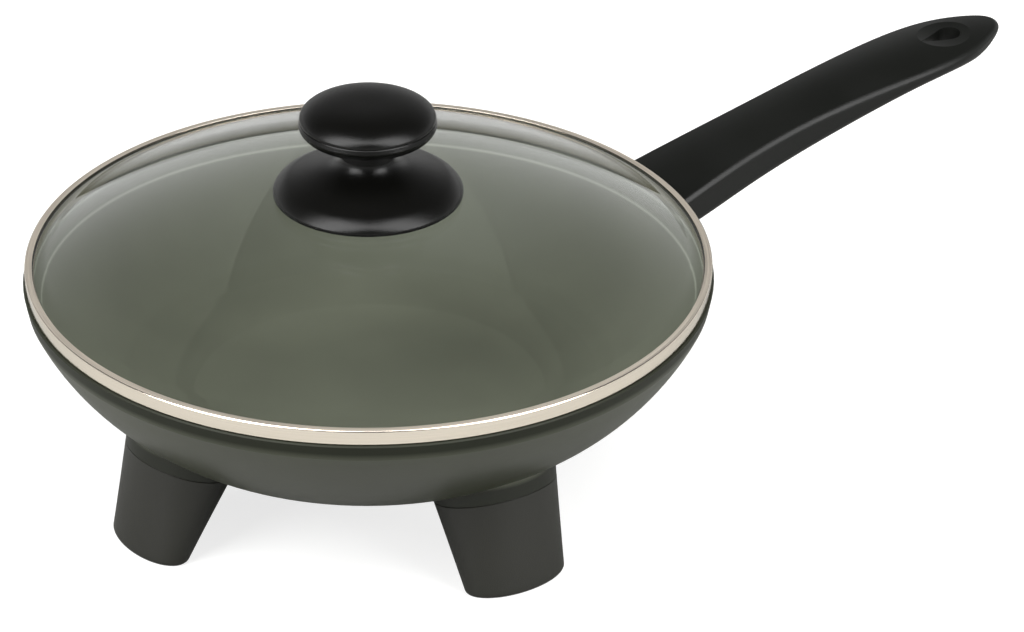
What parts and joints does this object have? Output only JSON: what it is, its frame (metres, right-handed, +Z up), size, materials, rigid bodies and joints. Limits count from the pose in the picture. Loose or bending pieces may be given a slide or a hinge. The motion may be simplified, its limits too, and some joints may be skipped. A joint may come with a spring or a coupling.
{
  "type": "electric skillet",
  "caption": "Round electric skillet on splayed legs with a long handle, a lift-off domed glass lid with a knob, and a socket for a plug-in thermostat probe.",
  "frame": {"origin": "the pan's axis at the table plane that the soles stand on", "axes": "+X along the handle, +Z up"},
  "size_m": [0.4615, 0.2814, 0.1704],
  "materials": {
    "nonstick_casting": "cast aluminium, charcoal non-stick coating, satin",
    "element_sheath": "drawn stainless tube, heat tinted",
    "ceramic": "steatite ceramic bead",
    "pin_plating": "nickel-plated steel",
    "shroud_moulding": "heat-proof phenolic moulding",
    "leg_moulding": "phenolic moulding, matte",
    "handle_moulding": "phenolic moulding, satin",
    "lid_glass": "clear tempered glass",
    "rim_steel": "polished stainless strip",
    "silicone": "heat-proof silicone",
    "insert_brass": "turned brass",
    "knob_moulding": "phenolic moulding, fine spark-eroded grain",
    "fastener_steel": "zinc-plated steel"
  },
  "bodies": {
    "pan": {"pan_body": "nonstick_casting", "heating_element": "element_sheath", "terminal_insulator_left": "ceramic", "terminal_pin_left": "pin_plating", "terminal_insulator_right": "ceramic", "terminal_pin_right": "pin_plating", "socket_shroud": "shroud_moulding", "shroud_screws": "fastener_steel", "leg_1": "leg_moulding", "leg_2": "leg_moulding", "leg_3": "leg_moulding", "leg_4": "leg_moulding", "leg_washers": "fastener_steel", "leg_screws": "fastener_steel", "handle": "handle_moulding", "handle_screws": "fastener_steel", "handle_washers": "fastener_steel"},
    "lid": {"lid_glass": "lid_glass", "lid_rim_band": "rim_steel", "lid_gasket": "silicone", "knob_seal_top": "silicone", "knob_seal_bottom": "silicone", "knob_washer": "fastener_steel", "knob_screw": "fastener_steel", "knob_skirt": "knob_moulding", "knob_stem": "knob_moulding", "knob_insert": "insert_brass", "knob_cap": "knob_moulding"}
  },
  "joints": [
    {"name": "lid_lift", "type": "slide", "parent": "pan", "child": "lid", "axis": [0, 0, 1], "range_m": [0, 0.15]}
  ]
}
